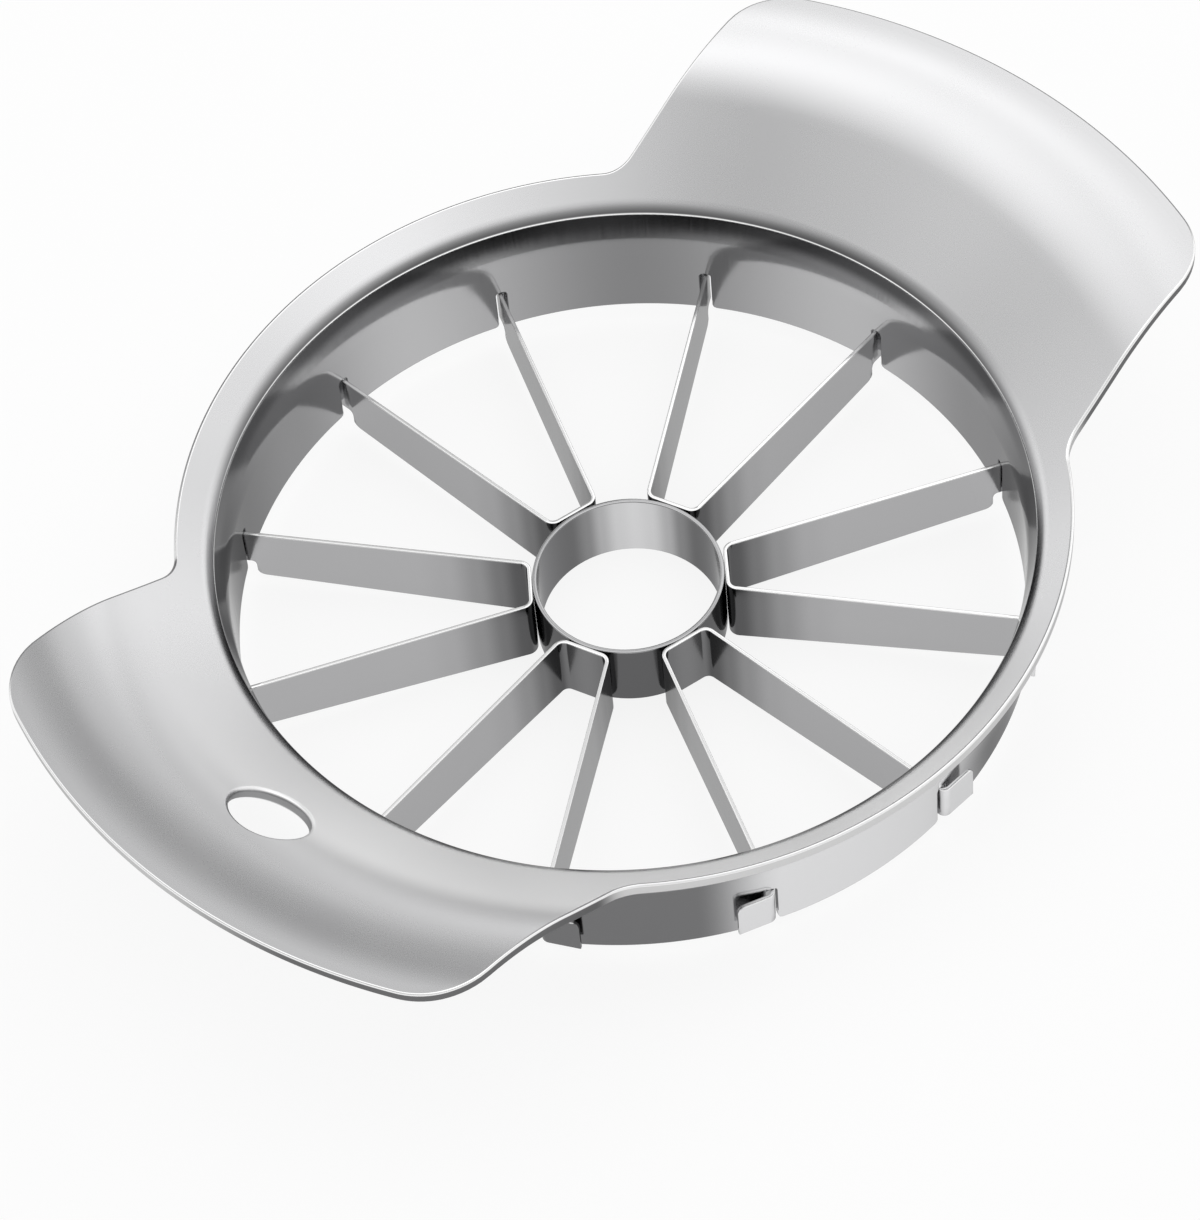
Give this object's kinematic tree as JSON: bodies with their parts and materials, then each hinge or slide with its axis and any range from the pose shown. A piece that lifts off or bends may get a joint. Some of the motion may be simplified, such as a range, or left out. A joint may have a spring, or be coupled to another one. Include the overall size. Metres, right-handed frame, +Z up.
{
  "type": "apple slicer and corer",
  "caption": "Push-down fruit slicer: a pressed steel frame with two wing handles and a round collar, radial blades and a core ring in the middle.",
  "frame": {"origin": "on the collar's axis, at the height of the core ring's lower rim", "axes": "+Z up along the collar's axis, +X towards the plain wing, -X towards the wing with the hanging hole, +Y across the wings"},
  "size_m": [0.1608, 0.1126, 0.034],
  "materials": {
    "frame_steel": "pressed stainless sheet, satin polished",
    "core_steel": "rolled stainless strip, polished",
    "blade_steel": "cold rolled stainless strip"
  },
  "bodies": {
    "root": {"frame": "frame_steel", "core_ring": "core_steel", "blade_strip_1": "blade_steel", "blade_strip_2": "blade_steel", "blade_strip_3": "blade_steel", "blade_strip_4": "blade_steel", "blade_strip_5": "blade_steel", "blade_strip_6": "blade_steel"}
  },
  "joints": []
}
